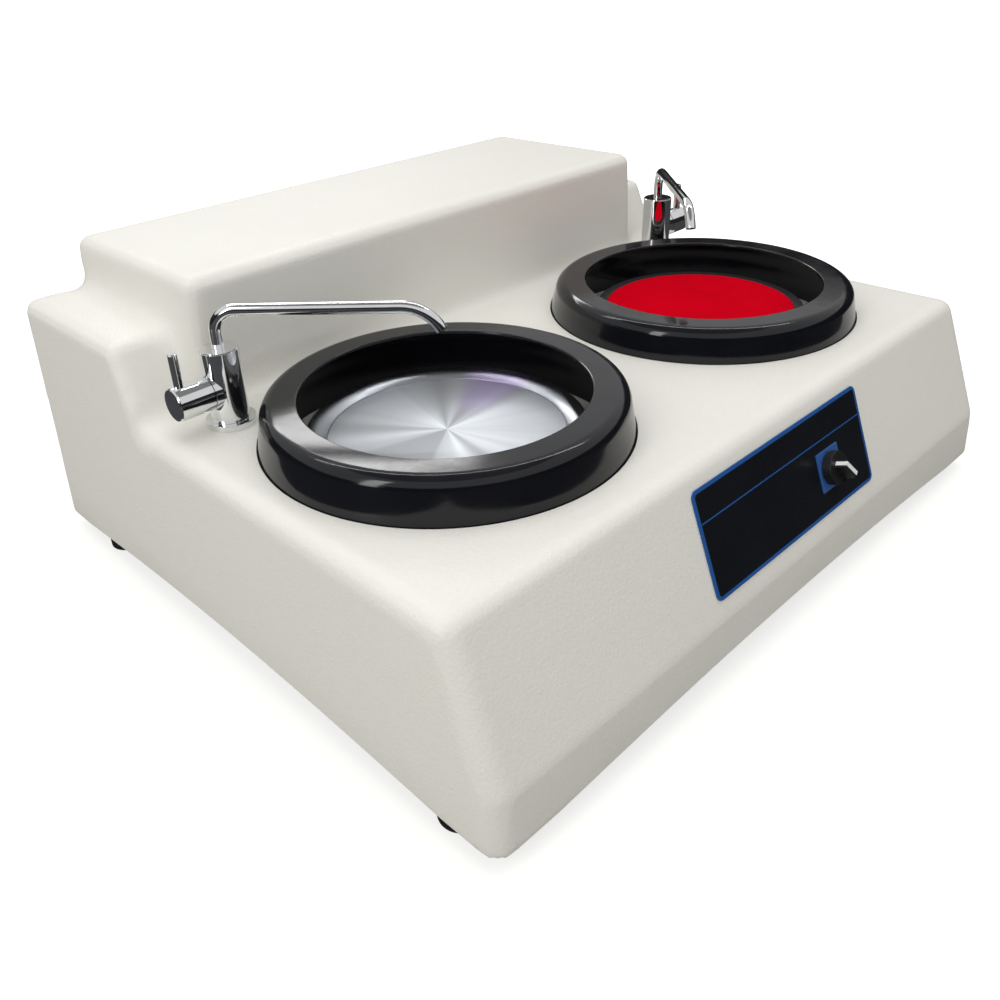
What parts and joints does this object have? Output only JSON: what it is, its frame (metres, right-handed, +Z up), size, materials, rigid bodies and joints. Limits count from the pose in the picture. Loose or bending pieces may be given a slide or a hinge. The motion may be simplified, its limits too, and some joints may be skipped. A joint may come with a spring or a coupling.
{
  "type": "metallographic polishing machine",
  "caption": "Bench-top two-wheel grinding and polishing machine with a moulded body, black splash rings, swivel water taps and a sloping control panel.",
  "frame": {"origin": "floor plane under the rubber feet, in the middle of the bounding box", "axes": "+X to the right along the two wheels, +Y to the rear, +Z up"},
  "size_m": [0.699, 0.6226, 0.2781],
  "materials": {
    "frp": "glossy gel coat",
    "sheet_steel": "powder coat",
    "rubber": "matte",
    "zinc": "zinc plated",
    "black_gloss": "glossy",
    "aluminium": "turned",
    "slate_hoop": "satin",
    "dark_hoop": "satin",
    "cloth": "short nap",
    "steel": "ground",
    "cast_iron": "painted",
    "belt": "matte",
    "motor_paint": "semi gloss",
    "can": "drawn",
    "steel_tube": "satin",
    "black_plastic": "moulded",
    "chrome": "polished",
    "brass": "machined",
    "copper": "drawn copper",
    "panel_film": "satin film",
    "switch_blue": "moulded",
    "knob_black": "moulded",
    "pointer_white": "painted"
  },
  "bodies": {
    "chassis": {"housing": "frp", "base_plate": "sheet_steel", "rubber_feet": "rubber", "foot_bolts": "zinc", "foot_nuts": "zinc", "plate_screws": "zinc", "bearing_housing_left": "cast_iron", "bearing_housing_right": "cast_iron", "bearing_bolts": "zinc", "upper_bearing_left": "steel", "lower_bearing_left": "steel", "upper_bearing_right": "steel", "lower_bearing_right": "steel", "drive_belt_left": "belt", "drive_belt_right": "belt", "motor_body": "motor_paint", "motor_bracket": "sheet_steel", "motor_bolts": "zinc", "bracket_screws": "zinc", "capacitor": "can", "capacitor_clamp": "zinc", "drain_pipe_left": "steel_tube", "drain_pipe_right": "steel_tube", "drain_nuts": "black_plastic", "tap_body_left": "chrome", "tap_body_right": "chrome", "tap_nuts": "brass", "water_pipe": "copper", "water_inlet": "brass", "cable_gland": "black_plastic", "control_panel": "panel_film", "switch_plate": "switch_blue", "switch_body": "black_plastic"},
    "wheel_left": {"platen_left": "aluminium", "clamp_hoop_left": "slate_hoop", "spindle_left": "steel", "spindle_pulley_left": "cast_iron"},
    "wheel_right": {"platen_right": "aluminium", "clamp_hoop_right": "dark_hoop", "polishing_cloth": "cloth", "spindle_right": "steel", "spindle_pulley_right": "cast_iron"},
    "motor_rotor": {"motor_shaft": "steel", "motor_pulley": "cast_iron"},
    "ring_left": {"splash_ring_left": "black_gloss"},
    "ring_right": {"splash_ring_right": "black_gloss"},
    "spout_left": {"tap_spout_left": "chrome"},
    "spout_right": {"tap_spout_right": "chrome"},
    "handle_left": {"tap_handle_left": "chrome"},
    "handle_right": {"tap_handle_right": "chrome"},
    "knob": {"switch_knob": "knob_black", "knob_pointer": "pointer_white"}
  },
  "joints": [
    {"name": "wheel_left_spin", "type": "hinge", "parent": "chassis", "child": "wheel_left", "pos_m": [-0.171, -0.0869, 0.171], "axis": [0, 0, 1], "continuous": true},
    {"name": "wheel_right_spin", "type": "hinge", "parent": "chassis", "child": "wheel_right", "pos_m": [0.171, -0.0869, 0.171], "axis": [0, 0, 1], "continuous": true},
    {"name": "motor_spin", "type": "hinge", "parent": "chassis", "child": "motor_rotor", "pos_m": [0, 0.1681, 0.071], "axis": [0, 0, 1], "continuous": true},
    {"name": "ring_left_lift", "type": "slide", "parent": "chassis", "child": "ring_left", "axis": [0, 0, 1], "range_m": [0, 0.04]},
    {"name": "ring_right_lift", "type": "slide", "parent": "chassis", "child": "ring_right", "axis": [0, 0, 1], "range_m": [0, 0.04]},
    {"name": "spout_left_swing", "type": "hinge", "parent": "chassis", "child": "spout_left", "pos_m": [-0.2812, 0.0471, 0.231], "axis": [0, 0, 1], "range_deg": [-60, 45]},
    {"name": "spout_right_swing", "type": "hinge", "parent": "chassis", "child": "spout_right", "pos_m": [0.2812, 0.0471, 0.231], "axis": [0, 0, 1], "range_deg": [-45, 60]},
    {"name": "handle_left_turn", "type": "hinge", "parent": "chassis", "child": "handle_left", "pos_m": [-0.3112, 0.0471, 0.2015], "axis": [1, 0, 0], "range_deg": [0, 90]},
    {"name": "handle_right_turn", "type": "hinge", "parent": "chassis", "child": "handle_right", "pos_m": [0.3112, 0.0471, 0.2015], "axis": [1, 0, 0], "range_deg": [0, 90]},
    {"name": "knob_turn", "type": "hinge", "parent": "chassis", "child": "knob", "pos_m": [0.0635, -0.29468, 0.11132], "axis": [0, -0.9282, 0.372], "range_deg": [-80, 0]}
  ],
  "couplings": [
    {"joint": "wheel_right_spin", "follows": "wheel_left_spin", "ratio": 1},
    {"joint": "motor_spin", "follows": "wheel_left_spin", "ratio": 2.1538}
  ]
}
